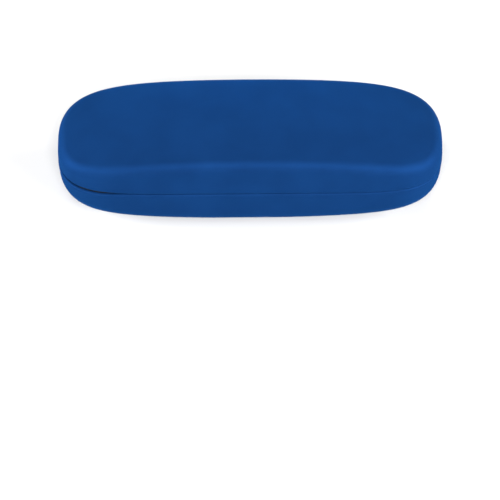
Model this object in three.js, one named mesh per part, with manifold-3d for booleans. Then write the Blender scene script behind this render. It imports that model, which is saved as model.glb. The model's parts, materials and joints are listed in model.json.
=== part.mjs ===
// Hard clamshell spectacle case: two pressed steel shells in soft-touch covers, with padded
// flocked liners, joined along the back by a knuckled snap hinge.
// Millimetres. X runs along the case, the front faces -Y, Z is up. The origin is on the
// underside, below the middle of the case. The lid is closed.

import * as THREE from 'three';
import { mergeVertices } from 'three/addons/utils/BufferGeometryUtils.js';
import Module from 'manifold-3d';

const wasm = await Module();
wasm.setup();

// ---------------------------------------------------------------- driving dimensions

const LENGTH = 160;
const DEPTH = 52;
const PLAN_POWER_X = 7.5; // powers of the superellipse that the case has in plan
const PLAN_POWER_Y = 2.6;

// Each half is a drafted wall, a rounded corner and a crown that falls away to the ends.
const LID = {
  side: 1, // above the seam
  height: 18.8,
  endFall: 0.228, // share of the height lost at the ends, square term
  endFallSteep: 0.321, // the same, fourth-power term
  sideFall: 0.126, // share of the height lost at the front and back
  corner: 4,
  draft: 0.04,
  landing: 0,
  linerCorner: 3.8,
};
const BASE = {
  side: -1,
  height: 21,
  endFall: 0.243,
  endFallSteep: 0.098,
  sideFall: 0,
  corner: 9,
  draft: 0.06,
  landing: 0.2, // shaved off the underside, so that it has a flat to rest on
  linerCorner: 6.4,
};

const SEAM_GAP = 0.4; // between the two covers
const EDGE_RADIUS = 0.9; // the covers' rounded edges along the seam

// Depths are measured inwards from the outside of the covers.
const COVER_THICKNESS = 0.8;
const SHELL_DEPTH = 1.0;
const SHELL_THICKNESS = 0.4;
const PAD_DEPTH = 2.1;
const PAD_THICKNESS = 1.2;
const LINER_DEPTH = 3.6;
const LINER_THICKNESS = 0.8;
const FIT_GAP = 0.3; // between pieces that lie against each other

// The hinge.
const KNUCKLE_COUNT = 16;
const KNUCKLE_PITCH = 4.84;
const KNUCKLE_LENGTH = 4.1;
const BARREL_RADIUS = 1.05;
const BORE_RADIUS = 0.65;
const PIN_RADIUS = 0.4;
const PIN_LENGTH = 71;
const HINGE_INSET = 0.5; // the pin's axis lies this far inside the back of the covers
const OPEN_ANGLE = THREE.MathUtils.degToRad(105);
const SLOT_HALF_LENGTH = 39.4;
const SLOT_TAPER = 4;
const SLOT_HALF_HEIGHT = 1.35;

const LEAF_DEPTH = 2.2;
const LEAF_THICKNESS = 0.5;
const LEAF_LENGTH = 76;
const LEAF_FOOT = 0.45; // each leaf starts this far from the seam
const LEAF_REACH = 6; // and ends this far from it

const SPRING_KNUCKLES = [3, 11]; // lid knuckles that the two snap springs bear on
const SPRING_WIDTH = 8;
const SPRING_THICKNESS = 0.3;
const SPRING_GAP = 0.2;
const CAM_FLAT = 0.9; // distance of a cam knuckle's two flats from the axis

const RIVET_END_X = 30;
const RIVET_REACH = 4; // rivet axes, from the seam
const RIVET_RADIUS = 0.9;
const RIVET_HEAD_RADIUS = 1.6;
const RIVET_HEAD_HEIGHT = 0.3;
const RIVET_CLEARANCE = 0.1;
const RIVET_TAIL_DEPTH = 1.4; // the flush tail, inside the steel shell's wall

// Facets.
const COLUMNS = 40; // points round the plan outline
const CORNER_STEPS = 2;
const CROWN_SCALES = [0.2, 0.5, 0.78]; // rings between the crown's middle and its corner
const ROUND_SEGMENTS = 12;

// ---------------------------------------------------------------- worked-out dimensions

const HALF_LENGTH = LENGTH / 2;
const HALF_DEPTH = DEPTH / 2;
const HALF_GAP = SEAM_GAP / 2;
const SEAM_Z = BASE.height - BASE.landing;
const HINGE_Y = HALF_DEPTH - HINGE_INSET;
const SHELL_INSIDE = SHELL_DEPTH + SHELL_THICKNESS;
const LEAF_BACK_Y = HALF_DEPTH - LEAF_DEPTH;
const LEAF_FRONT_Y = LEAF_BACK_Y - LEAF_THICKNESS;
const SPRING_BACK_Y = LEAF_FRONT_Y - SPRING_GAP;
const SPRING_FRONT_Y = SPRING_BACK_Y - SPRING_THICKNESS;

const knuckleX = (i) => (i - (KNUCKLE_COUNT - 1) / 2) * KNUCKLE_PITCH;
const springX = SPRING_KNUCKLES.map(knuckleX);
const rivetX = [-RIVET_END_X, ...springX, RIVET_END_X];

// ---------------------------------------------------------------- materials

const material = (color, roughness, metalness) =>
  new THREE.MeshStandardMaterial({ color, roughness, metalness });

const softTouchBlue = material(0x17467e, 0.6, 0);
const pressedSteel = material(0x8d9094, 0.45, 0.9);
const foam = material(0x3a3c40, 0.95, 0);
const flock = material(0x17191d, 1, 0);
const bronzedSteel = material(0x4a3b34, 0.4, 0.8);
const springSteel = material(0x6f7378, 0.3, 0.9);
const rivetSteel = material(0x9a9a98, 0.35, 0.9);

// ---------------------------------------------------------------- plan outline

// A point of the superellipse x^p/a^p + y^q/b^q = 1, and its outward normal.
function planPoint(t) {
  const c = Math.cos(t);
  const s = Math.sin(t);
  const x = HALF_LENGTH * Math.sign(c) * Math.abs(c) ** (2 / PLAN_POWER_X);
  const y = HALF_DEPTH * Math.sign(s) * Math.abs(s) ** (2 / PLAN_POWER_Y);
  const slopeX = (PLAN_POWER_X * Math.abs(x / HALF_LENGTH) ** (PLAN_POWER_X - 1)) / HALF_LENGTH;
  const slopeY = (PLAN_POWER_Y * Math.abs(y / HALF_DEPTH) ** (PLAN_POWER_Y - 1)) / HALF_DEPTH;
  const normal = new THREE.Vector2(Math.sign(x) * slopeX, Math.sign(y) * slopeY).normalize();
  return { point: new THREE.Vector2(x, y), normal };
}

// Points spread evenly by length and turning together, so that the ends get their share.
function planOutline(count) {
  const fine = Array.from({ length: 4001 }, (_, i) => planPoint((i / 4000) * 2 * Math.PI));
  const travel = [0];
  for (let i = 1; i < fine.length; i += 1) {
    const step = fine[i].point.distanceTo(fine[i - 1].point) / LENGTH;
    const turn = Math.acos(Math.min(1, fine[i].normal.dot(fine[i - 1].normal)));
    travel.push(travel[i - 1] + step + turn);
  }
  const total = travel[travel.length - 1];
  return Array.from({ length: count }, (_, k) => {
    const wanted = ((k + 0.5) / count) * total;
    return fine[travel.findIndex((value) => value >= wanted)];
  });
}

const outline = planOutline(COLUMNS);

// ---------------------------------------------------------------- lofted bowls

// Height of a half's outside above its side of the seam, over a plan position.
function crown(half, x, y) {
  const alongX = (x / HALF_LENGTH) ** 2;
  const alongY = (y / HALF_DEPTH) ** 2;
  const fall = half.endFall * alongX + half.endFallSteep * alongX ** 2 + half.sideFall * alongY;
  return Math.min(half.height * (1 - fall), half.height - half.landing);
}

function ring(half, insetAt, heightAt, scale = 1) {
  return outline.map((station) => {
    const inset = insetAt(station);
    const x = (station.point.x - station.normal.x * inset) * scale;
    const y = (station.point.y - station.normal.y * inset) * scale;
    return new THREE.Vector3(x, y, half.side * heightAt(x, y));
  });
}

const levelRing = (half, inset, height) => ring(half, () => inset, () => height);

// Rows of a half's outer form shrunk by a depth, from the middle of its crown to its wall.
function formRows(half, depth, corner) {
  const lean = ({ point }) => half.draft * (crown(half, point.x, point.y) - half.corner);
  const crownAt = (x, y) => crown(half, x, y) - depth;
  const rows = [[new THREE.Vector3(0, 0, half.side * crownAt(0, 0))]];
  for (const scale of CROWN_SCALES) {
    rows.push(ring(half, (station) => depth + lean(station) + corner, crownAt, scale));
  }
  for (let i = CORNER_STEPS; i >= 0; i -= 1) {
    const angle = (i / CORNER_STEPS) * (Math.PI / 2);
    const inset = (station) => depth + lean(station) + corner * (1 - Math.cos(angle));
    rows.push(ring(half, inset, (x, y) => crownAt(x, y) - corner * (1 - Math.sin(angle))));
  }
  return rows;
}

// A closed solid through rows of points, whose first and last rows are single points.
// Each four-sided patch is split the same way on the outside and the inside of a bowl, so
// that nested bowls have matching facets.
function loft(half, rows) {
  const index = [];
  const addTriangle = (a, b, c) => index.push(...(half.side > 0 ? [a, b, c] : [a, c, b]));
  let start = 0;
  for (let r = 0; r + 1 < rows.length; r += 1) {
    const next = start + rows[r].length;
    const widening = rows[r][0].length() <= rows[r + 1][0].length();
    for (let j = 0; j < COLUMNS; j += 1) {
      const k = (j + 1) % COLUMNS;
      if (rows[r].length === 1) {
        addTriangle(start, next + j, next + k);
      } else if (rows[r + 1].length === 1) {
        addTriangle(start + j, next, start + k);
      } else if (widening) {
        addTriangle(start + j, next + j, next + k);
        addTriangle(start + j, next + k, start + k);
      } else {
        addTriangle(start + j, next + j, start + k);
        addTriangle(start + k, next + j, next + k);
      }
    }
    start = next;
  }
  const geometry = new THREE.BufferGeometry();
  const positions = rows.flat().flatMap((p) => [p.x, p.y, p.z]);
  geometry.setAttribute('position', new THREE.Float32BufferAttribute(positions, 3));
  geometry.setIndex(index);
  geometry.computeVertexNormals();
  return geometry;
}

// ---------------------------------------------------------------- booleans

function toSolid(geometry) {
  const bare = geometry.clone();
  bare.deleteAttribute('normal');
  bare.deleteAttribute('uv');
  const merged = mergeVertices(bare, 1e-4);
  const mesh = new wasm.Mesh({
    numProp: 3,
    vertProperties: Float32Array.from(merged.attributes.position.array),
    triVerts: Uint32Array.from(merged.index.array),
  });
  return new wasm.Manifold(mesh);
}

function toGeometry(solid) {
  const mesh = solid.getMesh();
  const geometry = new THREE.BufferGeometry();
  const positions = Float32Array.from(mesh.vertProperties);
  geometry.setAttribute('position', new THREE.BufferAttribute(positions, 3));
  geometry.setIndex(new THREE.BufferAttribute(Uint32Array.from(mesh.triVerts), 1));
  geometry.computeVertexNormals();
  return geometry;
}

const cut = (solid, geometries) =>
  geometries.reduce((left, geometry) => left.subtract(toSolid(geometry)), solid);
const join = (geometries) => geometries.map(toSolid).reduce((all, solid) => all.add(solid));

// ---------------------------------------------------------------- simple shapes

// An (x, z) outline extruded from one y towards the front.
function plateAcrossY(shape, backY, thickness) {
  const geometry = new THREE.ExtrudeGeometry(shape, { depth: thickness, bevelEnabled: false });
  const basis = new THREE.Matrix4().makeBasis(
    new THREE.Vector3(1, 0, 0),
    new THREE.Vector3(0, 0, 1),
    new THREE.Vector3(0, -1, 0),
  );
  return geometry.applyMatrix4(basis).translate(0, backY, 0);
}

// A (y, z) outline extruded along X about a middle x.
function barAlongX(shape, middleX, width) {
  const geometry = new THREE.ExtrudeGeometry(shape, { depth: width, bevelEnabled: false });
  const basis = new THREE.Matrix4().makeBasis(
    new THREE.Vector3(0, 1, 0),
    new THREE.Vector3(0, 0, 1),
    new THREE.Vector3(1, 0, 0),
  );
  return geometry.applyMatrix4(basis).translate(middleX - width / 2, 0, 0);
}

function box(lowX, highX, lowY, highY, lowZ, highZ) {
  const geometry = new THREE.BoxGeometry(highX - lowX, highY - lowY, highZ - lowZ);
  return geometry.translate((lowX + highX) / 2, (lowY + highY) / 2, (lowZ + highZ) / 2);
}

// A turned solid whose (radius, x) profile runs along the hinge's pin.
function turnedOnPin(profile) {
  const points = profile.map(([radius, x]) => new THREE.Vector2(radius, x));
  const geometry = new THREE.LatheGeometry(points, ROUND_SEGMENTS);
  return geometry.rotateZ(-Math.PI / 2).translate(0, HINGE_Y, 0);
}

// ---------------------------------------------------------------- hinge slot

// Lens-ended slot through both backs, along the seam.
function hingeSlot() {
  const taperSteps = 6;
  const flat = SLOT_HALF_LENGTH - SLOT_TAPER;
  const end = (fromFlat) => {
    const points = [];
    for (let i = 0; i <= taperSteps; i += 1) {
      const share = fromFlat ? i / taperSteps : 1 - i / taperSteps;
      points.push([flat + SLOT_TAPER * share, Math.cos((share * Math.PI) / 2)]);
    }
    return points;
  };
  const halfHeight = (fullness) => HALF_GAP / 2 + (SLOT_HALF_HEIGHT - HALF_GAP / 2) * fullness;
  const upperRight = end(true).map(([x, fullness]) => [x, halfHeight(fullness)]);
  const upperLeft = end(false).map(([x, fullness]) => [-x, halfHeight(fullness)]);
  const upper = [...upperLeft, ...upperRight];
  const lower = upper.map(([x, z]) => [x, -z]).reverse();
  const shape = new THREE.Shape([...upper, ...lower].map(([x, z]) => new THREE.Vector2(x, z)));
  return plateAcrossY(shape, HALF_DEPTH + 5, 10);
}

// ---------------------------------------------------------------- the two halves

// The soft cover turns in over the steel shell's edge.
function cover(half) {
  const edgeRows = [0, 0.5, 1].map((share) => {
    const angle = (share * Math.PI) / 2;
    const inset = EDGE_RADIUS * (1 - Math.cos(angle));
    return levelRing(half, inset, HALF_GAP + EDGE_RADIUS * (1 - Math.sin(angle)));
  });
  const rows = [
    ...formRows(half, 0, half.corner),
    ...edgeRows,
    levelRing(half, SHELL_INSIDE, HALF_GAP),
    levelRing(half, SHELL_INSIDE, HALF_GAP + COVER_THICKNESS),
    levelRing(half, COVER_THICKNESS, HALF_GAP + COVER_THICKNESS),
    ...formRows(half, COVER_THICKNESS, half.corner - COVER_THICKNESS).reverse(),
  ];
  return toGeometry(cut(toSolid(loft(half, rows)), [hingeSlot()]));
}

function rivetHoles() {
  const radius = RIVET_RADIUS + RIVET_CLEARANCE;
  const reach = 3;
  return rivetX.flatMap((x) =>
    [LID.side, BASE.side].map((side) => {
      const hole = new THREE.CylinderGeometry(radius, radius, 2 * reach, ROUND_SEGMENTS);
      return hole.translate(x, HALF_DEPTH - SHELL_INSIDE, side * RIVET_REACH);
    }),
  );
}

function shell(half) {
  const edge = HALF_GAP + SHELL_DEPTH;
  const rows = [
    ...formRows(half, SHELL_DEPTH, half.corner - SHELL_DEPTH),
    levelRing(half, SHELL_DEPTH, edge),
    levelRing(half, SHELL_INSIDE, edge),
    ...formRows(half, SHELL_INSIDE, half.corner - SHELL_INSIDE).reverse(),
  ];
  return toGeometry(cut(toSolid(loft(half, rows)), [hingeSlot(), ...rivetHoles()]));
}

// Foam slab under the flat part of a liner.
function pad(half) {
  const face = (depth) => {
    const rows = formRows(half, depth, LINER_DEPTH + half.linerCorner - depth);
    return rows.slice(0, CROWN_SCALES.length + 2);
  };
  return loft(half, [...face(PAD_DEPTH), ...face(PAD_DEPTH + PAD_THICKNESS).reverse()]);
}

// Flocked tray with a lip that reaches out to the turned-in cover, notched for the hinge.
function liner(half) {
  const inside = LINER_DEPTH + LINER_THICKNESS;
  const lipOutside = SHELL_INSIDE + FIT_GAP;
  const lipTop = HALF_GAP * 2;
  const lipBottom = lipTop + LINER_THICKNESS;
  const rows = [
    ...formRows(half, LINER_DEPTH, half.linerCorner),
    levelRing(half, LINER_DEPTH, lipBottom),
    levelRing(half, lipOutside, lipBottom),
    levelRing(half, lipOutside, lipTop),
    levelRing(half, inside, lipTop),
    ...formRows(half, inside, half.linerCorner - LINER_THICKNESS).reverse(),
  ];
  const notchX = LEAF_LENGTH / 2 + 1;
  const notchY = HALF_DEPTH - LINER_DEPTH;
  const notch = box(-notchX, notchX, notchY, HALF_DEPTH, -lipBottom - 1, lipBottom + 1);
  return toGeometry(cut(toSolid(loft(half, rows)), [notch]));
}

// ---------------------------------------------------------------- hinge

// The knuckles at the two ends taper to a closed tip; the rest are plain tubes.
function knuckle(i) {
  const middle = knuckleX(i);
  const low = middle - KNUCKLE_LENGTH / 2;
  const high = middle + KNUCKLE_LENGTH / 2;
  const atEnd = i === 0 || i === KNUCKLE_COUNT - 1;
  if (!atEnd) {
    return turnedOnPin([
      [BORE_RADIUS, low],
      [BARREL_RADIUS, low],
      [BARREL_RADIUS, high],
      [BORE_RADIUS, high],
      [BORE_RADIUS, low],
    ]);
  }
  const mouth = Math.abs(middle) - KNUCKLE_LENGTH / 2;
  const blindEnd = PIN_LENGTH / 2 + FIT_GAP;
  const tip = mouth + KNUCKLE_LENGTH;
  const taperFrom = SLOT_HALF_LENGTH - SLOT_TAPER;
  const taper = [0, 0.25, 0.5, 0.75, 1].map((share) => {
    const radius = BARREL_RADIUS * Math.cos(share * THREE.MathUtils.degToRad(73));
    return [radius, taperFrom + (tip - taperFrom) * share];
  });
  const profile = [[0, blindEnd], [BORE_RADIUS, blindEnd], [BORE_RADIUS, mouth], [BARREL_RADIUS, mouth]];
  const geometry = turnedOnPin([...profile, ...taper, [0, tip]]);
  return middle > 0 ? geometry : geometry.rotateZ(Math.PI).translate(0, 2 * HINGE_Y, 0);
}

// A cam knuckle has one flat towards its spring when shut and one when open.
function camFlats(i) {
  const width = KNUCKLE_LENGTH + 1;
  return [Math.PI, Math.PI + OPEN_ANGLE].map((angle) => {
    const block = new THREE.BoxGeometry(width, 1, 3);
    block.translate(0, CAM_FLAT + 0.5, 0).rotateX(angle);
    return block.translate(knuckleX(i), HINGE_Y, 0);
  });
}

function hingeLeaf(half) {
  const first = half === BASE ? 0 : 1;
  const plateShape = new THREE.Shape();
  const halfLength = LEAF_LENGTH / 2;
  const foot = half.side * LEAF_FOOT;
  const reach = half.side * LEAF_REACH;
  plateShape.moveTo(-halfLength, foot).lineTo(halfLength, foot);
  plateShape.lineTo(halfLength - 2, reach).lineTo(-halfLength + 2, reach).closePath();
  const plate = plateAcrossY(plateShape, LEAF_BACK_Y, LEAF_THICKNESS);
  let leaf = toSolid(plate);
  for (let i = first; i < KNUCKLE_COUNT; i += 2) {
    const isCam = half === LID && SPRING_KNUCKLES.includes(i);
    const tube = cut(toSolid(knuckle(i)), isCam ? camFlats(i) : []);
    const edges = [foot, foot + half.side * LEAF_THICKNESS].sort((a, b) => a - b);
    const inner = Math.max(Math.abs(knuckleX(i)) - KNUCKLE_LENGTH / 2, 0);
    const outer = Math.min(Math.abs(knuckleX(i)) + KNUCKLE_LENGTH / 2, SLOT_HALF_LENGTH - SLOT_TAPER);
    const span = [inner, outer].map((x) => x * Math.sign(knuckleX(i))).sort((a, b) => a - b);
    const tab = box(...span, LEAF_FRONT_Y, HINGE_Y - BORE_RADIUS, ...edges);
    leaf = leaf.add(tube).add(toSolid(tab));
  }
  return toGeometry(cut(leaf, rivetHoles()));
}

function hingePin() {
  const pin = new THREE.CylinderGeometry(PIN_RADIUS, PIN_RADIUS, PIN_LENGTH, ROUND_SEGMENTS);
  return pin.rotateZ(Math.PI / 2).translate(0, HINGE_Y, 0);
}

// A flat spring riveted to the base leaf, with one finger turned over to the cam knuckle.
function snapSpring(middleX) {
  const halfWidth = SPRING_WIDTH / 2;
  const shoulder = -1.6;
  const plateShape = new THREE.Shape();
  plateShape.moveTo(-halfWidth, -LEAF_REACH).lineTo(halfWidth, -LEAF_REACH);
  plateShape.lineTo(halfWidth, shoulder - 1).lineTo(halfWidth - 1, shoulder);
  plateShape.lineTo(1 - halfWidth, shoulder).lineTo(-halfWidth, shoulder - 1).closePath();
  const plate = plateAcrossY(plateShape, SPRING_BACK_Y, SPRING_THICKNESS).translate(middleX, 0, 0);

  const tipY = HINGE_Y - BARREL_RADIUS - 0.25;
  const fingerShape = new THREE.Shape();
  fingerShape.moveTo(SPRING_FRONT_Y, shoulder - 0.5).lineTo(SPRING_BACK_Y, shoulder - 0.5);
  fingerShape.lineTo(SPRING_BACK_Y, -0.45).lineTo(SPRING_BACK_Y + 0.25, -0.2).lineTo(tipY, -0.2);
  fingerShape.lineTo(tipY, SPRING_THICKNESS - 0.2).lineTo(SPRING_BACK_Y + 0.1, SPRING_THICKNESS - 0.2);
  fingerShape.lineTo(SPRING_FRONT_Y, -0.35).closePath();
  const finger = barAlongX(fingerShape, middleX, KNUCKLE_LENGTH - 1);
  return toGeometry(cut(join([plate, finger]), rivetHoles()));
}

// Flush tail in the steel shell, low domed head on the innermost sheet that it holds.
function rivet(x, half, holdsSpring) {
  const headFoot = (holdsSpring ? SPRING_FRONT_Y : LEAF_FRONT_Y) - RIVET_CLEARANCE;
  const shank = HALF_DEPTH - RIVET_TAIL_DEPTH - headFoot;
  const profile = [
    [0, 0],
    [RIVET_RADIUS, 0],
    [RIVET_RADIUS, shank],
    [RIVET_HEAD_RADIUS, shank],
    [RIVET_HEAD_RADIUS * 0.75, shank + RIVET_HEAD_HEIGHT * 0.8],
    [0, shank + RIVET_HEAD_HEIGHT],
  ];
  const points = profile.map(([radius, height]) => new THREE.Vector2(radius, height));
  const geometry = new THREE.LatheGeometry(points, ROUND_SEGMENTS).rotateX(Math.PI);
  return geometry.translate(x, HALF_DEPTH - RIVET_TAIL_DEPTH, half.side * RIVET_REACH);
}

// ---------------------------------------------------------------- assembly

const lid = new THREE.Group();
const base = new THREE.Group();

function addPiece(group, name, geometry, finish) {
  const mesh = new THREE.Mesh(geometry, finish);
  mesh.name = name;
  group.add(mesh);
}

for (const [group, half, word] of [[base, BASE, 'base'], [lid, LID, 'lid']]) {
  addPiece(group, `${word}_cover`, cover(half), softTouchBlue);
  addPiece(group, `${word}_shell`, shell(half), pressedSteel);
  addPiece(group, `${word}_foam_pad`, pad(half), foam);
  addPiece(group, `${word}_liner`, liner(half), flock);
  addPiece(group, `${word}_hinge_leaf`, hingeLeaf(half), bronzedSteel);
  rivetX.forEach((x, i) => {
    const holdsSpring = half === BASE && springX.includes(x);
    addPiece(group, `${word}_rivet_${i + 1}`, rivet(x, half, holdsSpring), rivetSteel);
  });
}
addPiece(base, 'hinge_pin', hingePin(), springSteel);
addPiece(base, 'snap_spring_left', snapSpring(springX[0]), springSteel);
addPiece(base, 'snap_spring_right', snapSpring(springX[1]), springSteel);

const spectacleCase = new THREE.Group();
spectacleCase.add(base, lid);
spectacleCase.position.z = SEAM_Z;

export default spectacleCase;
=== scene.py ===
"""Looks of the hard clamshell eyeglasses case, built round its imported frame. Metres throughout."""

import json
import math

import bmesh
import bpy
import numpy as np
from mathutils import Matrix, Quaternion, Vector


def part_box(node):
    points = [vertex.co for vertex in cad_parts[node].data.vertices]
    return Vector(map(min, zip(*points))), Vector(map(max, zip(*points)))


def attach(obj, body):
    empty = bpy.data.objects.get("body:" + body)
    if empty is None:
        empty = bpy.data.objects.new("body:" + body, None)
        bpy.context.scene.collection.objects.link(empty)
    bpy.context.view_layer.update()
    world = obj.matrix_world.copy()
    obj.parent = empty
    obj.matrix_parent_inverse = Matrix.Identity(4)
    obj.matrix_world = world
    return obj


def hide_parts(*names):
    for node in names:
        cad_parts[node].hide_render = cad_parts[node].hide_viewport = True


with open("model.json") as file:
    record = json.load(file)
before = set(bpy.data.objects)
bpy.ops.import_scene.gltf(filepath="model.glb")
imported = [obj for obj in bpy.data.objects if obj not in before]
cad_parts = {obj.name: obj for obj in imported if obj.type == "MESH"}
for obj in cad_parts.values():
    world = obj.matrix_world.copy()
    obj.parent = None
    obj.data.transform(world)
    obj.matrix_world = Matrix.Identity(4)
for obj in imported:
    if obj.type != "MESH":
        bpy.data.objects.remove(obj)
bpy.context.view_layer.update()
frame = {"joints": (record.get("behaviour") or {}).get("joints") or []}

MM = 0.001

# ---------------------------------------------------------------- sizes

# From the frame.
hinge = frame["joints"][0]
HINGE_Y = hinge["pos_m"][1]
SEAM_Z = hinge["pos_m"][2]
OPEN_ANGLE = math.radians(hinge["range_deg"][1])
HALF_DEPTH = -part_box("lid_cover")[0][1]
LID_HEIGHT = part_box("lid_cover")[1][2] - SEAM_Z
LANDING = 0.2 * MM  # shaved off the underside's crown, so that it stands on a flat
BASE_HEIGHT = SEAM_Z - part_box("base_cover")[0][2] + LANDING

# The form of the pressed halves. Depths are measured inwards from the outside.
HALF_LENGTH = HALF_DEPTH * 80 / 26
PLAN_POWER_X = 7.5
PLAN_POWER_Y = 2.6
SEAM_GAP = 0.4 * MM
EDGE_RADIUS = 0.9 * MM
COVER_THICKNESS = 0.8 * MM
SHELL_DEPTH = 1.0 * MM
SHELL_THICKNESS = 0.4 * MM
SHELL_INSIDE = SHELL_DEPTH + SHELL_THICKNESS
PAD_DEPTH = 2.1 * MM
PAD_THICKNESS = 1.2 * MM
LINER_DEPTH = 3.6 * MM
LINER_THICKNESS = 0.8 * MM
FIT_GAP = 0.3 * MM
LIP_RADIUS = 0.25 * MM  # on the cover's edge, where it is turned in over the shell's

# How the halves meet. Each gape comes and goes over two spans, in shares of the half length and
# of the half depth. The front one is counted towards the left end.
LID_SKEW = 0.25 * MM  # the lid shuts this much high at the left end and low at the right
FRONT_GAPE = 1.05 * MM  # how far the base's rim dips at its front left corner
FRONT_GAPE_ALONG = (0.60, 0.80)
FRONT_GAPE_ACROSS = (-0.15, 0.6)
REAR_GAPE = 0.45 * MM  # how far the lid's edge stands off, from the slot's right tip round the corner
REAR_GAPE_ALONG = (0.38, 0.48)
REAR_GAPE_ACROSS = (-0.1, 0.35)

# How finely the halves are divided.
OUTLINE_SAMPLES = 40001
COVER_STATIONS = 560
SHELL_STATIONS = 280
PAD_STATIONS = 200
LINER_STATIONS = 480
SLOT_END_DENSITY = 5.0  # how many times the usual number of stations the slot's ends have on top
CROWN_SPACING = 0.8  # below 1, the crown's rows are closer together towards its rim

# The hinge. Its Z positions are from the pin's axis.
SLOT_HALF_LENGTH = 39.4 * MM
SLOT_TAPER = 4 * MM
SLOT_HALF_HEIGHT = 1.35 * MM
SLOT_FLAT = SLOT_HALF_LENGTH - SLOT_TAPER
KNUCKLE_COUNT = 16
KNUCKLE_PITCH = 4.84 * MM
KNUCKLE_LENGTH = 4.1 * MM
KNUCKLE_EASE = 0.22 * MM
KNUCKLE_FOOT_RADIUS = 0.35 * MM
ROLL_END = -185  # where a rolled knuckle's sheet ends round the pin, in degrees
TAB_END = 60  # where the short tab under an end knuckle stops
TIP_ANGLE = 80  # how much of a quarter turn an end knuckle's taper follows, in degrees
BARREL_RADIUS = 1.05 * MM
BORE_RADIUS = 0.65 * MM
CAM_FLAT = 0.9 * MM
PIN_RADIUS = 0.4 * MM
PIN_LENGTH = 71 * MM
LEAF_DEPTH = 2.2 * MM
LEAF_THICKNESS = 0.5 * MM
LEAF_LENGTH = 76 * MM
LEAF_FOOT = 1.3 * MM
LEAF_REACH = 6 * MM
LEAF_TAPER = 2 * MM
LEAF_CORNER_RADIUS = 0.8 * MM
LEAF_EDGE = 0.08 * MM
SPRING_KNUCKLES = (3, 11)
SPRING_WIDTH = 8 * MM
SPRING_THICKNESS = 0.3 * MM
SPRING_GAP = 0.2 * MM
SPRING_CORNER_RADIUS = 0.4 * MM
SPRING_EDGE = 0.05 * MM
SPRING_SHOULDER = -1.6 * MM  # where the blade ends and the finger starts
SPRING_BEND_RADIUS = 0.25 * MM
SPRING_BEND_TOP = -0.2 * MM
SPRING_TIP_CLEARANCE = 0.25 * MM
RIVET_END_X = 30 * MM
RIVET_REACH = 4 * MM
RIVET_RADIUS = 0.9 * MM
RIVET_HOLE = 1.0 * MM
RIVET_HEAD_RADIUS = 1.6 * MM
RIVET_HEAD_HEIGHT = 0.3 * MM
RIVET_CLEARANCE = 0.1 * MM
RIVET_TAIL_DEPTH = 1.4 * MM
RIVET_RIM = 0.1 * MM
RIVET_DOME_POWER = 0.6  # below 1, the head's dome is fuller than a quarter circle
HOLE_SEGMENTS = 28
END_KNUCKLE_SEGMENTS = 40
PIN_SEGMENTS = 32
RIVET_SEGMENTS = 36
SHARP_TURN = 1.2  # radians between two faces of a plate, above which their edge is rounded

LEAF_BACK_Y = HALF_DEPTH - LEAF_DEPTH
LEAF_FRONT_Y = LEAF_BACK_Y - LEAF_THICKNESS
SPRING_BACK_Y = LEAF_FRONT_Y - SPRING_GAP
SPRING_FRONT_Y = SPRING_BACK_Y - SPRING_THICKNESS


def knuckle_x(i):
    return (i - (KNUCKLE_COUNT - 1) / 2) * KNUCKLE_PITCH


SPRING_X = [knuckle_x(i) for i in SPRING_KNUCKLES]
RIVET_X = [-RIVET_END_X, *SPRING_X, RIVET_END_X]


def ease(value, low, high):
    """A smooth step from 0 at low to 1 at high."""
    t = np.clip((value - low) / (high - low), 0, 1)
    return t * t * (3 - 2 * t)


def sweep(steps, end=math.pi / 2):
    """Angles from 0 to end, in equal steps."""
    return [i / steps * end for i in range(steps + 1)]


# ---------------------------------------------------------------- the form of each half


class Half:
    """One half: its side of the seam, and the height of its crown and how that falls away.

    Towards the ends the crown loses the share fall of its height by the square of the distance
    and steep by the fourth power, and across it loses the share across. Then come the radius of
    its corner, the draft of its walls, how much is shaved off for standing, and the corner
    radius of its liner.
    """

    def __init__(self, side, height, fall, steep, across, corner, draft, landing, liner_corner):
        self.side = side
        self.height = height
        self.fall = fall
        self.steep = steep
        self.across = across
        self.corner = corner
        self.draft = draft
        self.landing = landing
        self.liner_corner = liner_corner

    def crown(self, x, y):
        """Height of the outside over a plan position, from the seam."""
        along = (x / HALF_LENGTH) ** 2
        lost = self.fall * along + self.steep * along**2 + self.across * (y / HALF_DEPTH) ** 2
        return np.minimum(self.height * (1 - lost), self.height - self.landing)


LID = Half(
    side=1,
    height=LID_HEIGHT,
    fall=0.228,
    steep=0.321,
    across=0.126,
    corner=4 * MM,
    draft=0.04,
    landing=0,
    liner_corner=3.8 * MM,
)
BASE = Half(
    side=-1,
    height=BASE_HEIGHT,
    fall=0.243,
    steep=0.098,
    across=0,
    corner=9 * MM,
    draft=0.06,
    landing=LANDING,
    liner_corner=6.4 * MM,
)


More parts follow.
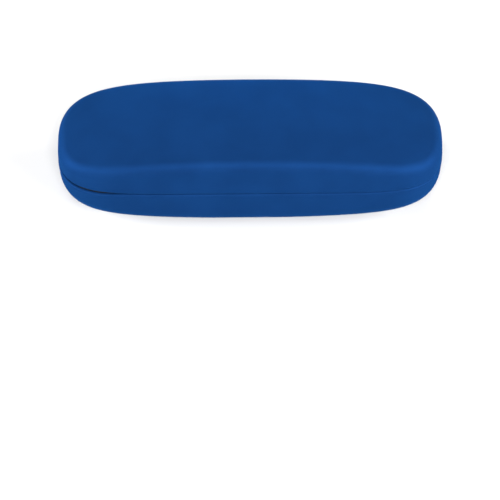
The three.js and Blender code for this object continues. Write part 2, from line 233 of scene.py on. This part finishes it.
class Outline:
    """Stations round the superellipse that the case has in plan, closer where it turns."""

    def __init__(self, count):
        t = np.linspace(0, 2 * np.pi, OUTLINE_SAMPLES)
        c, s = np.cos(t), np.sin(t)
        x = HALF_LENGTH * np.sign(c) * np.abs(c) ** (2 / PLAN_POWER_X)
        y = HALF_DEPTH * np.sign(s) * np.abs(s) ** (2 / PLAN_POWER_Y)
        slope_x = PLAN_POWER_X * np.abs(x / HALF_LENGTH) ** (PLAN_POWER_X - 1) / HALF_LENGTH
        slope_y = PLAN_POWER_Y * np.abs(y / HALF_DEPTH) ** (PLAN_POWER_Y - 1) / HALF_DEPTH
        length = np.hypot(slope_x, slope_y)
        nx = np.sign(x) * slope_x / length
        ny = np.sign(y) * slope_y / length
        step = np.hypot(np.diff(x), np.diff(y))
        turn = np.arccos(np.clip(nx[1:] * nx[:-1] + ny[1:] * ny[:-1], -1, 1))
        # The slot's pointed ends, at the back, need stations of their own.
        slot_end = np.abs(np.abs(x[1:]) - (SLOT_FLAT + SLOT_TAPER / 2)) < SLOT_TAPER
        extra = np.where(slot_end & (y[1:] > 0), SLOT_END_DENSITY, 0.0)
        travel = np.concatenate([[0], np.cumsum(step / HALF_LENGTH * (1 + extra) + turn / 2)])
        wanted = (np.arange(count) + 0.5) / count * travel[-1]
        self.x = np.interp(wanted, travel, x)
        self.y = np.interp(wanted, travel, y)
        nx = np.interp(wanted, travel, nx)
        ny = np.interp(wanted, travel, ny)
        length = np.hypot(nx, ny)
        self.nx = nx / length
        self.ny = ny / length

    def slot(self):
        """Half the hinge slot's height at each station, and 0 where there is no slot."""
        share = np.clip((np.abs(self.x) - SLOT_FLAT) / SLOT_TAPER, 0, 1)
        return np.where(self.y > 0, SLOT_HALF_HEIGHT * np.cos(share * np.pi / 2), 0)


class Bowl:
    """Rows of points round the outline, for the nested bowls of one half."""

    def __init__(self, half, count):
        self.half = half
        self.outline = Outline(count)

    def ring(self, inset, height, scale=1.0):
        """A row inset from the outline. The height is a number, one for each station, or a function."""
        o = self.outline
        x = (o.x - o.nx * inset) * scale
        y = (o.y - o.ny * inset) * scale
        z = height(x, y) if callable(height) else height + np.zeros_like(x)
        skew = LID_SKEW * x / HALF_LENGTH if self.half is LID else 0
        return np.stack([x, y, SEAM_Z + self.half.side * z - skew], axis=1)

    def lean(self):
        """How far the drafted wall has moved inwards at its top."""
        o, half = self.outline, self.half
        return half.draft * (half.crown(o.x, o.y) - half.corner)

    def crown_rows(self, depth, inset, scales):
        """The middle point of the crown, then rows that widen from it."""

        def height(x, y):
            return self.half.crown(x, y) - depth

        middle = self.ring(inset, height, 0.0)[:1]
        return [middle] + [self.ring(inset, height, s) for s in scales]

    def form_rows(self, depth, corner, crown_steps, corner_steps):
        """Rows of the outer form shrunk by a depth, from its crown's middle to its wall."""
        inset = depth + self.lean() + corner
        scales = [(i / crown_steps) ** CROWN_SPACING for i in range(1, crown_steps)]
        rows = self.crown_rows(depth, inset, scales)
        for angle in sweep(corner_steps)[::-1]:
            drop = depth + corner * (1 - math.sin(angle))
            inset = depth + self.lean() + corner * (1 - math.cos(angle))
            rows.append(self.ring(inset, lambda x, y, d=drop: self.half.crown(x, y) - d))
        return rows


def between(above, below, steps):
    """Rows between two rows, leaving both out."""
    return [above + (below - above) * (i / steps) for i in range(1, steps)]


# ---------------------------------------------------------------- meshes


def add_piece(name, verts, faces, sharp_above=None):
    """A mesh object, smooth all over, or smooth but for edges that turn more than sharp_above."""
    mesh = bpy.data.meshes.new(name)
    mesh.from_pydata(np.asarray(verts).tolist(), [], faces)
    mesh.polygons.foreach_set("use_smooth", [True] * len(mesh.polygons))
    if sharp_above is not None:
        mesh.set_sharp_from_angle(angle=math.radians(sharp_above))
    mesh.update()
    piece = bpy.data.objects.new(name, mesh)
    bpy.context.collection.objects.link(piece)
    return piece


def loft(rows, flipped=False):
    """Closed skin through rows of points, whose first and last rows may be single points."""
    starts = np.cumsum([0] + [len(row) for row in rows])
    faces = []
    for r in range(len(rows) - 1):
        a, b = int(starts[r]), int(starts[r + 1])
        count = max(len(rows[r]), len(rows[r + 1]))
        for j in range(count):
            k = (j + 1) % count
            if len(rows[r]) == 1:
                face = (a, b + j, b + k)
            elif len(rows[r + 1]) == 1:
                face = (a + j, b, a + k)
            else:
                face = (a + j, b + j, b + k, a + k)
            faces.append(face[::-1] if flipped else face)
    return np.concatenate(rows), faces


def gather(solids):
    """Several (verts, faces) solids as one."""
    verts, faces, start = [], [], 0
    for points, polygons in solids:
        verts.append(points)
        faces += [tuple(start + v for v in polygon) for polygon in polygons]
        start += len(points)
    return np.concatenate(verts), faces


def mirror_z(solid, side):
    """A solid for the lid's side of the hinge axis, or for the base's if side is -1."""
    points, faces = solid
    if side > 0:
        return points, faces
    flipped = points.copy()
    flipped[:, 2] = 2 * SEAM_Z - flipped[:, 2]
    return flipped, [face[::-1] for face in faces]


# ---------------------------------------------------------------- covers, shells, pads, liners


def seam_height(bowl):
    """Height of a cover's edge from the seam at each station.

    It rises round the hinge slot. The base's rim also dips a little at its front left corner,
    and the lid's edge stands off a little from the slot's tip round the back right corner.
    """
    o = bowl.outline
    x, y = o.x / HALF_LENGTH, o.y / HALF_DEPTH
    if bowl.half is BASE:
        opening = FRONT_GAPE * ease(-x, *FRONT_GAPE_ALONG) * (1 - ease(y, *FRONT_GAPE_ACROSS))
    else:
        opening = REAR_GAPE * ease(x, *REAR_GAPE_ALONG) * ease(y, *REAR_GAPE_ACROSS)
    return np.maximum(SEAM_GAP / 2 + opening, o.slot())


def make_cover(half):
    """The soft skin over the steel, rolled in at the seam over the steel's edge."""
    bowl = Bowl(half, COVER_STATIONS)
    edge = seam_height(bowl)
    rows = bowl.form_rows(0, half.corner, 30, 16)
    roll = []
    for angle in sweep(8):
        height = edge + EDGE_RADIUS * (1 - math.sin(angle))
        roll.append(bowl.ring(EDGE_RADIUS * (1 - math.cos(angle)), height))
    rows += between(rows[-1], roll[0], 10) + roll
    for angle in sweep(3):
        height = edge + LIP_RADIUS * (1 - math.cos(angle))
        rows.append(bowl.ring(SHELL_INSIDE - LIP_RADIUS * (1 - math.sin(angle)), height))
    rows.append(bowl.ring(SHELL_INSIDE, edge + COVER_THICKNESS))
    rows.append(bowl.ring(COVER_THICKNESS, edge + COVER_THICKNESS))
    rows += bowl.form_rows(COVER_THICKNESS, half.corner - COVER_THICKNESS, 12, 6)[::-1]
    return loft(rows, half.side < 0)


def make_shell(half):
    """The pressed steel between the cover and the lining."""
    bowl = Bowl(half, SHELL_STATIONS)
    edge = seam_height(bowl) + SHELL_DEPTH
    rows = bowl.form_rows(SHELL_DEPTH, half.corner - SHELL_DEPTH, 12, 8)
    rows += [bowl.ring(SHELL_DEPTH, edge), bowl.ring(SHELL_INSIDE, edge)]
    rows += bowl.form_rows(SHELL_INSIDE, half.corner - SHELL_INSIDE, 12, 8)[::-1]
    return loft(rows, half.side < 0)


def make_pad(half):
    """A sheet of foam under the liner, with soft rounded edges."""
    bowl = Bowl(half, PAD_STATIONS)
    inset = LINER_DEPTH + half.liner_corner + bowl.lean()
    scales = [(i / 12) ** CROWN_SPACING for i in range(1, 13)]
    rows = []
    for i, angle in enumerate(sweep(4, math.pi)):
        depth = PAD_DEPTH + PAD_THICKNESS * (1 - math.cos(angle)) / 2
        bulge = 0.5 * MM * math.sin(angle)
        face = bowl.crown_rows(depth, inset - bulge, scales)
        if i == 0:
            rows += face
        elif i == 4:
            rows += face[::-1]
        else:
            rows.append(face[-1])
    return loft(rows, half.side < 0)


def make_liner(half):
    """Flocked tray with a soft rounded lip, cut back where the hinge's leaves stand."""
    bowl = Bowl(half, LINER_STATIONS)
    o = bowl.outline
    out_of_hinge = ease(np.abs(o.x), LEAF_LENGTH / 2 + MM, LEAF_LENGTH / 2 + 3.5 * MM)
    out_of_hinge = np.where(o.y > 0, out_of_hinge, 1)
    lip_edge = LINER_DEPTH + (SHELL_INSIDE + FIT_GAP - LINER_DEPTH) * out_of_hinge
    depth = LINER_DEPTH + LINER_THICKNESS
    top = SEAM_GAP
    bottom = top + LINER_THICKNESS
    edge_radius = 0.35 * MM
    roll_radius = LINER_THICKNESS - edge_radius
    rows = bowl.form_rows(LINER_DEPTH, half.liner_corner, 16, 8)
    rows += [bowl.ring(LINER_DEPTH, bottom + FIT_GAP), bowl.ring(LINER_DEPTH - 0.05 * MM, bottom)]
    for angle in sweep(6, math.pi):
        reach = edge_radius * (out_of_hinge if angle < math.pi / 2 else 1)
        inset = lip_edge + reach * (1 - math.sin(angle))
        rows.append(bowl.ring(inset, (top + bottom) / 2 + LINER_THICKNESS / 2 * math.cos(angle)))
    for angle in sweep(5):
        inset = depth - roll_radius * (1 - math.sin(angle))
        rows.append(bowl.ring(inset, top + roll_radius * (1 - math.cos(angle))))
    inside = bowl.form_rows(depth, half.liner_corner - LINER_THICKNESS, 24, 12)[::-1]
    rows += between(rows[-1], inside[0], 8) + inside
    return loft(rows, half.side < 0)


# ---------------------------------------------------------------- hinge


def strip(outer, inner, low_x, high_x, edge):
    """Sheet metal between two (y, z) paths, spanning low_x to high_x, with rounded edges."""
    middle = (outer + inner) / 2
    half = (outer - inner) / 2
    thickness = np.linalg.norm(half, axis=1)[:, None]
    rows = []
    angles = sweep(2)
    ends = [(low_x + edge * (1 - math.cos(a)), edge * (1 - math.sin(a))) for a in angles]
    ends += [(high_x - edge * (1 - math.cos(a)), edge * (1 - math.sin(a))) for a in angles[::-1]]
    for x, thinning in ends:
        shrunk = half * np.maximum(1 - thinning / thickness, 0.1)
        ring = np.concatenate([middle + shrunk, (middle - shrunk)[::-1]])
        ring[:, 1] += SEAM_Z
        rows.append(np.concatenate([np.full((len(ring), 1), x), ring], axis=1))
    points, faces = loft(rows)
    count = len(outer)
    last = len(points) - 2 * count
    for i in range(count - 1):
        outer_a, outer_b = i, i + 1
        inner_a, inner_b = 2 * count - 1 - i, 2 * count - 2 - i
        faces.append((outer_a, outer_b, inner_b, inner_a))
        faces.append(tuple(last + v for v in (inner_a, inner_b, outer_b, outer_a)))
    return points, faces


def bend(centre, radius, start, end, steps):
    """Points on an arc about a (y, z) centre, angles in degrees from +Y towards +Z."""
    angles = np.radians(np.linspace(start, end, steps))
    return np.stack([centre[0] + radius * np.cos(angles), centre[1] + radius * np.sin(angles)], axis=1)


def knuckle_paths(rolled, cam):
    """The (y, z) paths of one rolled knuckle's two faces, for the lid's side."""
    inner_z, outer_z = BORE_RADIUS, BARREL_RADIUS
    half = (outer_z - inner_z) / 2
    foot_y = LEAF_BACK_Y - LEAF_THICKNESS / 2
    foot = KNUCKLE_FOOT_RADIUS
    centre = (foot_y + half + foot, outer_z + foot)
    # Down the leaf, round into the tab, then round the pin. The barrel's outside is the
    # outer path, so the bend at the leaf is tightest on that side.
    outer = [np.array([[foot_y + half, LEAF_FOOT + MM]]), bend(centre, foot, 180, 270, 6)]
    inner = [np.array([[foot_y - half, LEAF_FOOT + MM]]), bend(centre, foot + 2 * half, 180, 270, 6)]
    axis = (HINGE_Y, 0)
    last = ROLL_END if rolled else TAB_END
    steps = 40 if rolled else 6
    barrel = bend(axis, 1, 90, last, steps) - axis
    radius = np.full(steps, BARREL_RADIUS)
    if cam:
        # One flat faces the spring when shut, the other when open.
        for flat in (math.pi, math.pi + OPEN_ANGLE):
            facing = barrel @ np.array([math.cos(flat), math.sin(flat)])
            cut = CAM_FLAT / np.maximum(facing, 0.3)
            radius = np.where(facing > 0.3, np.minimum(radius, cut), radius)
    outer.append(barrel * radius[:, None] + axis)
    inner.append(barrel * BORE_RADIUS + axis)
    return np.concatenate(outer), np.concatenate(inner)


def turned(profile, segments, place):
    """A solid of revolution: (radius, along) pairs from axis to axis, put in place by a function."""
    rows = []
    for radius, along in profile:
        count = 1 if radius == 0 else segments
        angle = np.arange(count) / segments * 2 * np.pi
        rows.append(place(radius * np.cos(angle), radius * np.sin(angle), np.full(count, along)))
    return loft(rows)


def on_pin(a, b, along):
    """Points at a and b from the hinge's axis, along it."""
    return np.stack([along, HINGE_Y + a, SEAM_Z + b], axis=1)


def end_knuckle(side_x):
    """A knuckle at an end of the barrel, which tapers to a closed tip."""
    mouth = knuckle_x(KNUCKLE_COUNT - 1) - KNUCKLE_LENGTH / 2
    blind_end = PIN_LENGTH / 2 + FIT_GAP
    tip = mouth + KNUCKLE_LENGTH
    profile = [(0, blind_end), (BORE_RADIUS, blind_end), (BORE_RADIUS, mouth)]
    for angle in sweep(2):
        away = KNUCKLE_EASE * (1 - math.sin(angle))
        profile.append((BARREL_RADIUS - away, mouth + KNUCKLE_EASE * (1 - math.cos(angle))))
    for share in np.linspace(0.02, 1, 12):
        radius = BARREL_RADIUS * math.cos(share * math.radians(TIP_ANGLE))
        profile.append((radius, SLOT_FLAT + (tip - SLOT_FLAT) * share))
    profile.append((0, tip))

    def place(a, b, along):
        return on_pin(a, b * side_x, along * side_x)

    return turned(profile, END_KNUCKLE_SEGMENTS, place)


def plate(outline, holes, back_y, thickness, edge):
    """A sheet-metal plate across Y: an (x, z) outline with round holes, and rounded edges."""
    bm = bmesh.new()
    loops = [outline]
    for x, z in holes:
        angles = np.arange(HOLE_SEGMENTS) / HOLE_SEGMENTS * 2 * np.pi
        loops.append([(x + RIVET_HOLE * math.cos(a), z + RIVET_HOLE * math.sin(a)) for a in angles])
    edges = []
    for points in loops:
        corners = [bm.verts.new((x, back_y, SEAM_Z + z)) for x, z in points]
        edges += [bm.edges.new((a, b)) for a, b in zip(corners, corners[1:] + corners[:1])]
    bmesh.ops.triangle_fill(bm, use_beauty=True, use_dissolve=False, edges=edges)
    grown = bmesh.ops.extrude_face_region(bm, geom=bm.faces[:])
    moved = [v for v in grown["geom"] if isinstance(v, bmesh.types.BMVert)]
    bmesh.ops.translate(bm, verts=moved, vec=(0, -thickness, 0))
    bmesh.ops.recalc_face_normals(bm, faces=bm.faces[:])

    def on_rim(e):
        """Whether a sharp edge lies in one of the two faces, and doesn't cross between them."""
        start, end = e.verts
        return e.calc_face_angle(0) > SHARP_TURN and abs(start.co.y - end.co.y) < edge

    rims = [e for e in bm.edges if on_rim(e)]
    bmesh.ops.bevel(bm, geom=rims, offset=edge, segments=2, profile=0.5, affect="EDGES")
    bm.verts.index_update()
    points = np.array([v.co for v in bm.verts])
    faces = [tuple(v.index for v in face.verts) for face in bm.faces]
    bm.free()
    return points, faces


def rounded(corners, radius, steps=4):
    """An outline with its corners rounded: each becomes a short curve between its sides."""
    points = []
    count = len(corners)
    for i, corner in enumerate(corners):
        here = np.array(corner)
        before = np.array(corners[i - 1]) - here
        after = np.array(corners[(i + 1) % count]) - here
        start = here + before / np.linalg.norm(before) * radius
        end = here + after / np.linalg.norm(after) * radius
        for t in np.linspace(0, 1, steps + 1):
            points.append(tuple(start * (1 - t) ** 2 + here * 2 * t * (1 - t) + end * t**2))
    return points


def make_leaf(half):
    """A hinge leaf, with every other knuckle of the barrel."""
    side = half.side
    half_length = LEAF_LENGTH / 2
    corners = [
        (-half_length, LEAF_FOOT),
        (half_length, LEAF_FOOT),
        (half_length - LEAF_TAPER, LEAF_REACH),
        (LEAF_TAPER - half_length, LEAF_REACH),
    ]
    holes = [(x, RIVET_REACH) for x in RIVET_X]
    outline = rounded(corners, LEAF_CORNER_RADIUS)
    solids = [mirror_z(plate(outline, holes, LEAF_BACK_Y, LEAF_THICKNESS, LEAF_EDGE), side)]
    for i in range(0 if half is BASE else 1, KNUCKLE_COUNT, 2):
        middle = knuckle_x(i)
        low, high = middle - KNUCKLE_LENGTH / 2, middle + KNUCKLE_LENGTH / 2
        at_end = i in (0, KNUCKLE_COUNT - 1)
        if at_end:
            solids.append(end_knuckle(math.copysign(1, middle)))
            low, high = max(low, -SLOT_FLAT), min(high, SLOT_FLAT)
        paths = knuckle_paths(not at_end, half is LID and i in SPRING_KNUCKLES)
        solids.append(mirror_z(strip(*paths, low, high, KNUCKLE_EASE * 0.8), side))
    return gather(solids)


def make_pin():
    """The pin through the knuckles, chamfered at both ends."""
    end = PIN_LENGTH / 2
    chamfer = 0.12 * MM
    profile = [(0, -end), (PIN_RADIUS - chamfer, -end), (PIN_RADIUS, chamfer - end)]
    profile += [(radius, -along) for radius, along in profile[::-1]]
    return turned(profile, PIN_SEGMENTS, on_pin)


def make_spring(middle_x):
    """A flat spring riveted to the base leaf, with one finger turned over to the cam knuckle."""
    half_width = SPRING_WIDTH / 2
    shoulder = SPRING_SHOULDER
    corners = [
        (middle_x - half_width, -LEAF_REACH),
        (middle_x + half_width, -LEAF_REACH),
        (middle_x + half_width, shoulder - MM),
        (middle_x + half_width - MM, shoulder),
        (middle_x - half_width + MM, shoulder),
        (middle_x - half_width, shoulder - MM),
    ]
    hole = [(middle_x, -RIVET_REACH)]
    outline = rounded(corners, SPRING_CORNER_RADIUS)
    blade = plate(outline, hole, SPRING_BACK_Y, SPRING_THICKNESS, SPRING_EDGE)
    tip_y = HINGE_Y - BARREL_RADIUS - SPRING_TIP_CLEARANCE
    shrink = 0.02 * MM  # the finger's root lies inside the blade
    outer_y, inner_y = SPRING_FRONT_Y + shrink, SPRING_BACK_Y - shrink
    inner_radius = SPRING_BEND_RADIUS
    outer_radius = inner_radius + inner_y - outer_y
    centre = (inner_y + inner_radius, SPRING_BEND_TOP - inner_radius)
    root_z = shoulder - 0.6 * MM
    outer_tip = [tip_y - 0.1 * MM, centre[1] + outer_radius]
    inner_tip = [tip_y, centre[1] + inner_radius]
    outer_bend = bend(centre, outer_radius, 180, 90, 7)
    inner_bend = bend(centre, inner_radius, 180, 90, 7)
    outer = np.concatenate([[[outer_y, root_z]], outer_bend, [outer_tip]])
    inner = np.concatenate([[[inner_y, root_z]], inner_bend, [inner_tip]])
    width = KNUCKLE_LENGTH - MM
    finger = strip(inner, outer, middle_x - width / 2, middle_x + width / 2, SPRING_EDGE)
    return gather([blade, finger])


def make_rivet(x, half, holds_spring):
    """Flush tail in the steel shell, low domed head on the innermost sheet that it holds."""
    tail_y = HALF_DEPTH - RIVET_TAIL_DEPTH
    foot = (SPRING_FRONT_Y if holds_spring else LEAF_FRONT_Y) - RIVET_CLEARANCE
    shank = tail_y - foot
    rim = RIVET_RIM
    profile = [(0, 0), (RIVET_RADIUS - rim, 0), (RIVET_RADIUS, rim), (RIVET_RADIUS, shank)]
    profile += [(RIVET_HEAD_RADIUS - rim / 2, shank), (RIVET_HEAD_RADIUS, shank + rim / 2)]
    for share in np.linspace(0.25, 1, 7):
        angle = share * math.pi / 2
        height = rim / 2 + (RIVET_HEAD_HEIGHT - rim / 2) * math.sin(angle)
        radius = 0 if share == 1 else RIVET_HEAD_RADIUS * math.cos(angle) ** RIVET_DOME_POWER
        profile.append((radius, shank + height))

    def place(a, b, along):
        return np.stack([x + a, tail_y - along, SEAM_Z + half.side * RIVET_REACH + b], axis=1)

    return turned(profile, RIVET_SEGMENTS, place)


# ---------------------------------------------------------------- materials

# The skin's colours and the tints of its highlight and sheen, linear.
BLUE_DEEP = (0.0045, 0.0280, 0.1080)
BLUE_LIGHT = (0.0050, 0.0315, 0.1205)
GRAZING_TINT = (0.0, 0.2, 0.35, 1.0)
BLUE_SHEEN = (0.05, 0.36, 1.0, 1.0)


class Shader:
    """One material, and short ways to add nodes to it."""

    def __init__(self, name):
        self.material = bpy.data.materials.new(name)
        self.material.use_nodes = True
        self.tree = self.material.node_tree
        self.surface = self.tree.nodes["Principled BSDF"]
        self.coordinates = self.add("ShaderNodeTexCoord").outputs["Object"]

    def add(self, kind, **settings):
        node = self.tree.nodes.new(kind)
        for key, value in settings.items():
            setattr(node, key, value)
        return node

    def link(self, source, target):
        self.tree.links.new(source, target)

    def set(self, **values):
        """Constant values, straight on the surface's sockets."""
        for key, value in values.items():
            self.surface.inputs[key.replace("_", " ")].default_value = value

    def feed(self, **sources):
        for key, source in sources.items():
            self.link(source, self.surface.inputs[key.replace("_", " ")])

    def scaled(self, size, stretch=(1, 1, 1)):
        mapping = self.add("ShaderNodeMapping")
        mapping.inputs["Scale"].default_value = [s / size for s in stretch]
        self.link(self.coordinates, mapping.inputs["Vector"])
        return mapping.outputs["Vector"]

    def noise(self, size, detail=2.0, roughness=0.5, stretch=(1, 1, 1)):
        """Noise whose features are about size across."""
        node = self.add("ShaderNodeTexNoise")
        node.inputs["Scale"].default_value = 1.0
        node.inputs["Detail"].default_value = detail
        node.inputs["Roughness"].default_value = roughness
        self.link(self.scaled(size, stretch), node.inputs["Vector"])
        return node.outputs["Fac"]

    def cells(self, size):
        """Distance to the middle of the nearest of some rounded cells."""
        node = self.add("ShaderNodeTexVoronoi")
        node.inputs["Scale"].default_value = 1.0
        self.link(self.scaled(size), node.inputs["Vector"])
        return node.outputs["Distance"]

    def range(self, value, low, high, out_low=0.0, out_high=1.0):
        node = self.add("ShaderNodeMapRange")
        names = ("From Min", "From Max", "To Min", "To Max")
        for name, number in zip(names, (low, high, out_low, out_high)):
            node.inputs[name].default_value = number
        self.link(value, node.inputs["Value"])
        return node.outputs["Result"]

    def mix(self, factor, first, second):
        node = self.add("ShaderNodeMix", data_type="RGBA")
        sockets = {s.identifier: s for s in node.inputs}
        self.link(factor, sockets["Factor_Float"])
        for value, socket in ((first, sockets["A_Color"]), (second, sockets["B_Color"])):
            if isinstance(value, bpy.types.NodeSocket):
                self.link(value, socket)
            else:
                socket.default_value = (*value, 1.0)
        return next(s for s in node.outputs if s.identifier == "Result_Color")

    def bump(self, height, distance, strength=1.0, before=None):
        node = self.add("ShaderNodeBump")
        node.inputs["Distance"].default_value = distance
        node.inputs["Strength"].default_value = strength
        self.link(height, node.inputs["Height"])
        if before is not None:
            self.link(before, node.inputs["Normal"])
        return node.outputs["Normal"]


def soft_touch():
    """Royal-blue soft-touch polyurethane: matte, finely grained, barely mottled.

    Partial metalness stands in for the coating's own gloss, because it gives the skin's broad
    highlight the skin's colour. The dark tint holds that highlight back at grazing angles.
    """
    s = Shader("soft_touch_blue")
    mottling = s.range(s.noise(14 * MM, 3.0), 0.35, 0.65)
    s.feed(Base_Color=s.mix(mottling, BLUE_DEEP, BLUE_LIGHT))
    s.feed(Roughness=s.range(s.noise(5 * MM, 4.0), 0.3, 0.7, 0.50, 0.57))
    grain = s.bump(s.noise(0.22 * MM, 2.0), 0.08 * MM, 1.0)
    s.feed(Normal=s.bump(s.noise(3.5 * MM, 2.0), 0.02 * MM, 0.5, grain))
    s.set(Metallic=0.32, Specular_IOR_Level=0.0, Sheen_Weight=0.12, Sheen_Roughness=0.5)
    s.set(Specular_Tint=GRAZING_TINT, Sheen_Tint=BLUE_SHEEN)
    return s.material


def flock():
    """Black nylon flock, brushed here and there."""
    s = Shader("black_flock")
    pile = s.noise(0.18 * MM, 3.0, 0.7)
    brushed = s.range(s.noise(9 * MM, 3.0), 0.35, 0.65)
    base = s.mix(brushed, (0.006, 0.007, 0.010), (0.014, 0.016, 0.021))
    s.feed(Base_Color=s.mix(pile, base, (0.022, 0.024, 0.030)))
    s.feed(Normal=s.bump(pile, 0.12 * MM, 0.9))
    s.set(Roughness=0.95, Specular_IOR_Level=0.05, Sheen_Weight=0.25, Sheen_Roughness=0.4)
    s.set(Sheen_Tint=(0.75, 0.8, 0.9, 1.0))
    return s.material


def metal(name, dark, light, roughness, brush):
    """Sheet metal with rolling lines along X, brush deep, and faint stains from dark to light."""
    s = Shader(name)
    lines = s.noise(0.12 * MM, 3.0, 0.6, stretch=(0.03, 1, 1))
    stains = s.range(s.noise(4 * MM, 4.0), 0.35, 0.7)
    s.feed(Base_Color=s.mix(stains, dark, light))
    s.feed(Roughness=s.range(lines, 0.3, 0.7, roughness - 0.08, roughness + 0.1))
    s.feed(Normal=s.bump(lines, brush, 0.6))
    s.set(Metallic=1.0)
    return s.material


def foam():
    """Grey open-cell foam, with painted shade darkening each pore's hollow."""
    s = Shader("grey_foam")
    cells = s.cells(0.5 * MM)
    # Painted shade: the colour darkens towards each cell's middle, where the bump sinks into a pore.
    s.feed(Base_Color=s.mix(s.range(cells, 0.1, 0.6), (0.02, 0.02, 0.022), (0.06, 0.06, 0.065)))
    s.feed(Normal=s.bump(cells, 0.2 * MM, 0.8))
    s.set(Roughness=0.95)
    return s.material


MATERIALS = {
    "soft_touch_cover": soft_touch(),
    "flock": flock(),
    "foam": foam(),
    "pressed_steel": metal(
        "pressed_steel", (0.30, 0.31, 0.32), (0.46, 0.47, 0.48), roughness=0.38, brush=0.004 * MM
    ),
    "bronzed_steel": metal(
        "bronzed_steel", (0.013, 0.0092, 0.0085), (0.031, 0.023, 0.020), roughness=0.32, brush=0.006 * MM
    ),
    "spring_steel": metal(
        "spring_steel", (0.020, 0.021, 0.024), (0.045, 0.046, 0.050), roughness=0.3, brush=0.003 * MM
    ),
    "rivet_steel": metal(
        "rivet_steel", (0.40, 0.40, 0.40), (0.55, 0.55, 0.54), roughness=0.3, brush=0.003 * MM
    ),
}

# ---------------------------------------------------------------- the pieces


def stand_in(node, body, solid, slot, sharp_above=None):
    """A finished piece that replaces a CAD node on its body."""
    piece = add_piece(f"{node}_finished", *solid, sharp_above)
    piece.data.materials.append(MATERIALS[slot])
    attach(piece, body)
    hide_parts(node)
    return piece


for body, half in (("base", BASE), ("lid", LID)):
    stand_in(f"{body}_cover", body, make_cover(half), "soft_touch_cover")
    stand_in(f"{body}_shell", body, make_shell(half), "pressed_steel", 40)
    pad = stand_in(f"{body}_foam_pad", body, make_pad(half), "foam")
    stand_in(f"{body}_liner", body, make_liner(half), "flock")
    stand_in(f"{body}_hinge_leaf", body, make_leaf(half), "bronzed_steel", 50)
    for i, x in enumerate(RIVET_X):
        holds_spring = half is BASE and x in SPRING_X
        stand_in(f"{body}_rivet_{i + 1}", body, make_rivet(x, half, holds_spring), "rivet_steel", 50)
stand_in("hinge_pin", "base", make_pin(), "spring_steel", 50)
for side, x in zip(("left", "right"), SPRING_X):
    stand_in(f"snap_spring_{side}", "base", make_spring(x), "spring_steel", 50)

# ---------------------------------------------------------------- floor, light and camera


FLOOR_HALF_WIDTH = 8.0
FLOOR_DARK = (0.64, 0.64, 0.64)
FLOOR_LIGHT = (0.66, 0.66, 0.66)
WORLD_STRENGTH = 0.03

# Name, azimuth and elevation in degrees, distance, size, power in watts.
LIGHTS = (
    ("front", 0, 47, 1.6, (0.55, 0.3), 19.0),
    ("front_left", -50, 25, 1.2, (0.5, 0.5), 5.0),
    ("front_right", 50, 25, 1.2, (0.5, 0.5), 13.5),
    ("left", -90, 20, 1.6, (0.8, 0.64), 38.0),
    ("right", 90, 20, 1.6, (0.8, 0.64), 27.0),
    ("back", 180, 22, 1.6, (0.8, 0.4), 15.5),
)

CAMERA_AZIMUTH = -0.8
CAMERA_ELEVATION = 48.0
CAMERA_ROLL = 0.1
CAMERA_DISTANCE = 1.315
FRAME_WIDTH = 0.2085  # how wide the view is at the case
CASE_RISE = 0.0427  # how far the case lies above the middle of the view


def make_floor():
    """A plain white floor, barely uneven in tone."""
    edge = FLOOR_HALF_WIDTH
    corners = [(-edge, -edge, 0), (edge, -edge, 0), (edge, edge, 0), (-edge, edge, 0)]
    floor = add_piece("floor", corners, [(0, 1, 2, 3)])
    s = Shader("floor_white")
    s.feed(Base_Color=s.mix(s.noise(0.3), FLOOR_DARK, FLOOR_LIGHT))
    s.set(Roughness=0.9, Specular_IOR_Level=0.1)
    floor.data.materials.append(s.material)


def direction(azimuth, elevation):
    """Unit vector to a place seen at an azimuth from the front, -Y, towards +X, in degrees."""
    a, e = math.radians(azimuth), math.radians(elevation)
    return Vector((math.sin(a) * math.cos(e), -math.cos(a) * math.cos(e), math.sin(e)))


def add_light(name, azimuth, elevation, distance, size, power):
    """A soft box that faces the case."""
    light = bpy.data.lights.new(name, "AREA")
    light.shape = "RECTANGLE"
    light.size, light.size_y = size
    light.energy = power
    lamp = bpy.data.objects.new(name, light)
    back = direction(azimuth, elevation)
    lamp.location = back * distance
    lamp.rotation_euler = back.to_track_quat("Z", "Y").to_euler()
    bpy.context.collection.objects.link(lamp)


def make_world(strength):
    """Faint white light from everywhere."""
    world = bpy.data.worlds.new("studio")
    world.use_nodes = True
    background = world.node_tree.nodes["Background"]
    background.inputs["Color"].default_value = (1, 1, 1, 1)
    background.inputs["Strength"].default_value = strength
    bpy.context.scene.world = world


def make_camera():
    """A camera far off and high, with the case in the upper half of its view."""
    data = bpy.data.cameras.new("camera")
    data.lens = data.sensor_width * CAMERA_DISTANCE / FRAME_WIDTH
    camera = bpy.data.objects.new("camera", data)
    back = direction(CAMERA_AZIMUTH, CAMERA_ELEVATION)
    middle = Vector((0, 0, SEAM_Z))
    camera.location = middle + back * CAMERA_DISTANCE
    up = Vector((0, 0, 1))
    screen_up = (up - back * up.dot(back)).normalized()
    aim = middle - screen_up * CASE_RISE
    roll = Quaternion((0, 0, 1), math.radians(CAMERA_ROLL))
    camera.rotation_mode = "QUATERNION"
    camera.rotation_quaternion = (camera.location - aim).to_track_quat("Z", "Y") @ roll
    bpy.context.collection.objects.link(camera)
    bpy.context.scene.camera = camera


make_floor()
make_world(WORLD_STRENGTH)
for row in LIGHTS:
    add_light(*row)
make_camera()
bpy.context.scene.view_settings.view_transform = "Standard"
